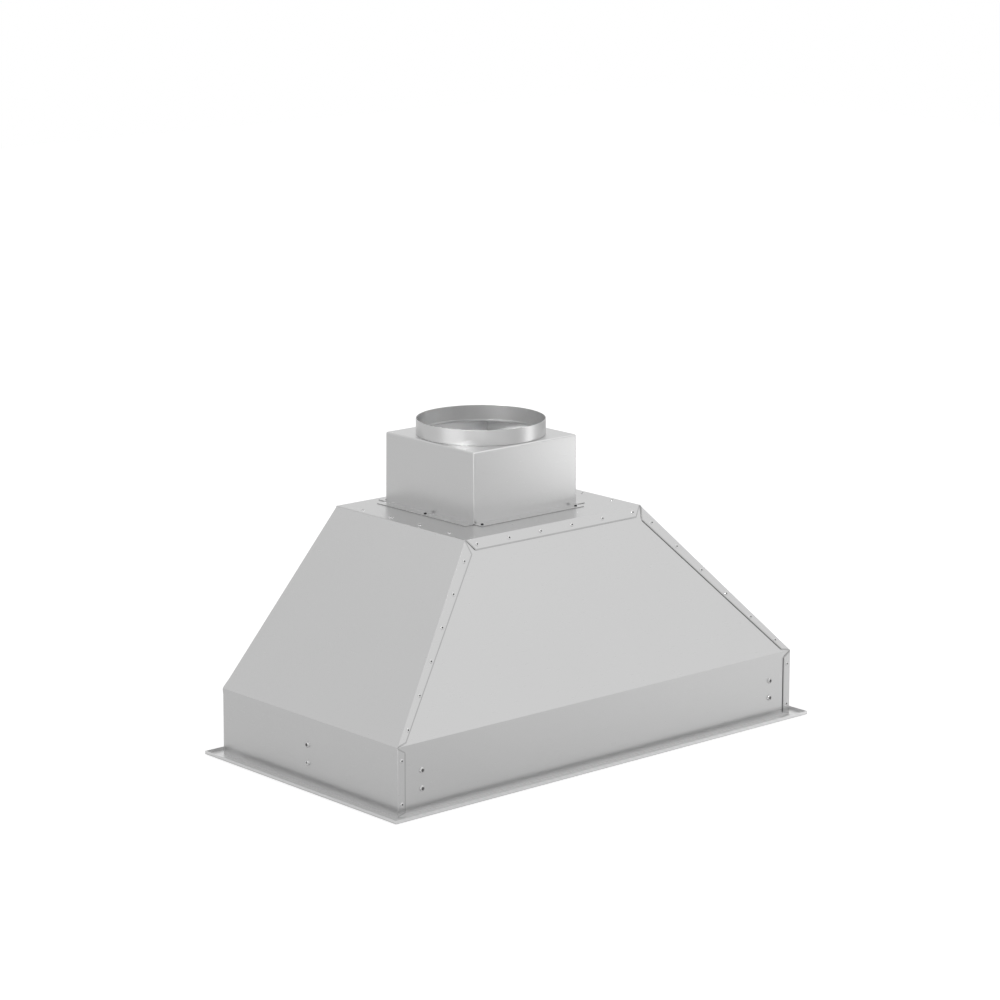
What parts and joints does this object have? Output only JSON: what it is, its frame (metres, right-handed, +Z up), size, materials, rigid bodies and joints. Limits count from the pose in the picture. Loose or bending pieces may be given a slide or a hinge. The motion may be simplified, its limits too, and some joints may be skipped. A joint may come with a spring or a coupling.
{
  "type": "range hood",
  "caption": "Ducted range hood insert: riveted sheet canopy, square transition box with a round duct collar, damper, blower, lit bottom pan and swing-down baffle filters.",
  "frame": {"origin": "bottom centre of the ledge's footprint", "axes": "+Z up towards the duct collar, -Y towards the cook, +X to the cook's right"},
  "size_m": [0.858, 0.462, 0.4975],
  "materials": {
    "satin_steel": "satin stainless sheet, cold-rolled",
    "box_steel": "bright rolled stainless sheet",
    "collar_steel": "bright rolled stainless strip",
    "rivet_steel": "pulled stainless rivets",
    "screw_steel": "stainless screws and nuts",
    "pan_steel": "brushed stainless",
    "filter_steel": "stainless baffles",
    "galvanised": "zinc-coated sheet",
    "wheel_steel": "dark coated sheet",
    "shaft_steel": "ground shaft steel",
    "motor_paint": "black enamel",
    "copper_winding": "enamelled copper winding on a laminated core",
    "black_plastic": "moulded black plastic",
    "white_plastic": "moulded white plastic",
    "lens_glass": "frosted glass",
    "circuit_board": "glass-fibre board",
    "button_steel": "polished metal button caps",
    "cable_sheath": "black cable sheath",
    "zinc_rod": "zinc-plated rod"
  },
  "bodies": {
    "shell": {"left_end_panel": "satin_steel", "right_end_panel": "satin_steel", "front_panel": "satin_steel", "back_panel": "satin_steel", "top_plate": "satin_steel", "transition_box": "box_steel", "duct_collar": "collar_steel", "shell_rivets": "rivet_steel", "liner_screws": "screw_steel", "liner_nuts": "screw_steel", "blower_nuts": "screw_steel", "blower_studs": "screw_steel", "bottom_pan": "pan_steel", "rear_filter_rail": "pan_steel", "centre_rail": "pan_steel", "lamp_bezels": "pan_steel", "damper_frame": "galvanised", "blower_left_side": "galvanised", "blower_right_side": "galvanised", "blower_scroll": "galvanised", "outlet_flange": "galvanised", "inlet_rings": "galvanised", "motor_bracket": "galvanised", "capacitor_clip": "galvanised", "junction_box": "galvanised", "junction_box_cover": "galvanised", "lamp_cans": "galvanised", "motor_bearings": "shaft_steel", "motor_housing": "motor_paint", "motor_stator": "copper_winding", "cable_bushing": "black_plastic", "control_housing": "black_plastic", "control_bezel": "black_plastic", "capacitor": "white_plastic", "led_driver": "white_plastic", "lamp_lenses": "lens_glass", "led_boards": "circuit_board", "control_board": "circuit_board", "motor_cable": "cable_sheath", "control_cable": "cable_sheath", "lamp_leads": "cable_sheath", "damper_rod": "zinc_rod"},
    "left_filter": {"left_filter_frame": "filter_steel", "left_filter_baffles": "filter_steel"},
    "right_filter": {"right_filter_frame": "filter_steel", "right_filter_baffles": "filter_steel"},
    "left_latch": {"left_filter_latch": "black_plastic"},
    "right_latch": {"right_filter_latch": "black_plastic"},
    "front_flap": {"front_damper_flap": "galvanised"},
    "rear_flap": {"rear_damper_flap": "galvanised"},
    "wheel": {"blower_wheel": "wheel_steel", "motor_shaft": "shaft_steel", "motor_rotor": "shaft_steel"},
    "fan_power": {"fan_power_button": "button_steel"},
    "fan_slower": {"fan_slower_button": "button_steel"},
    "fan_faster": {"fan_faster_button": "button_steel"},
    "light": {"light_button": "button_steel"}
  },
  "joints": [
    {"name": "left_filter_swing", "type": "hinge", "parent": "shell", "child": "left_filter", "pos_m": [0, 0.182, 0.025], "axis": [1, 0, 0], "range_deg": [0, 50]},
    {"name": "left_latch_slide", "type": "slide", "parent": "left_filter", "child": "left_latch", "axis": [0, 1, 0], "range_m": [0, 0.007], "stiffness_N_per_m": 300, "springref_m": -0.004},
    {"name": "right_filter_swing", "type": "hinge", "parent": "shell", "child": "right_filter", "pos_m": [0, 0.182, 0.025], "axis": [1, 0, 0], "range_deg": [0, 50]},
    {"name": "right_latch_slide", "type": "slide", "parent": "right_filter", "child": "right_latch", "axis": [0, 1, 0], "range_m": [0, 0.007], "stiffness_N_per_m": 300, "springref_m": -0.004},
    {"name": "front_flap_hinge", "type": "hinge", "parent": "shell", "child": "front_flap", "pos_m": [0, 0.07425, 0.3646], "axis": [-1, 0, 0], "range_deg": [0, 78]},
    {"name": "rear_flap_hinge", "type": "hinge", "parent": "shell", "child": "rear_flap", "pos_m": [0, 0.07425, 0.3646], "axis": [1, 0, 0], "range_deg": [0, 78]},
    {"name": "wheel_spin", "type": "hinge", "parent": "shell", "child": "wheel", "pos_m": [0, 0.01825, 0.215], "axis": [1, 0, 0], "continuous": true},
    {"name": "fan_power_press", "type": "slide", "parent": "shell", "child": "fan_power", "axis": [0, 0, 1], "range_m": [0, 0.002], "stiffness_N_per_m": 400, "springref_m": -0.002},
    {"name": "fan_slower_press", "type": "slide", "parent": "shell", "child": "fan_slower", "axis": [0, 0, 1], "range_m": [0, 0.002], "stiffness_N_per_m": 400, "springref_m": -0.002},
    {"name": "fan_faster_press", "type": "slide", "parent": "shell", "child": "fan_faster", "axis": [0, 0, 1], "range_m": [0, 0.002], "stiffness_N_per_m": 400, "springref_m": -0.002},
    {"name": "light_press", "type": "slide", "parent": "shell", "child": "light", "axis": [0, 0, 1], "range_m": [0, 0.002], "stiffness_N_per_m": 400, "springref_m": -0.002}
  ]
}
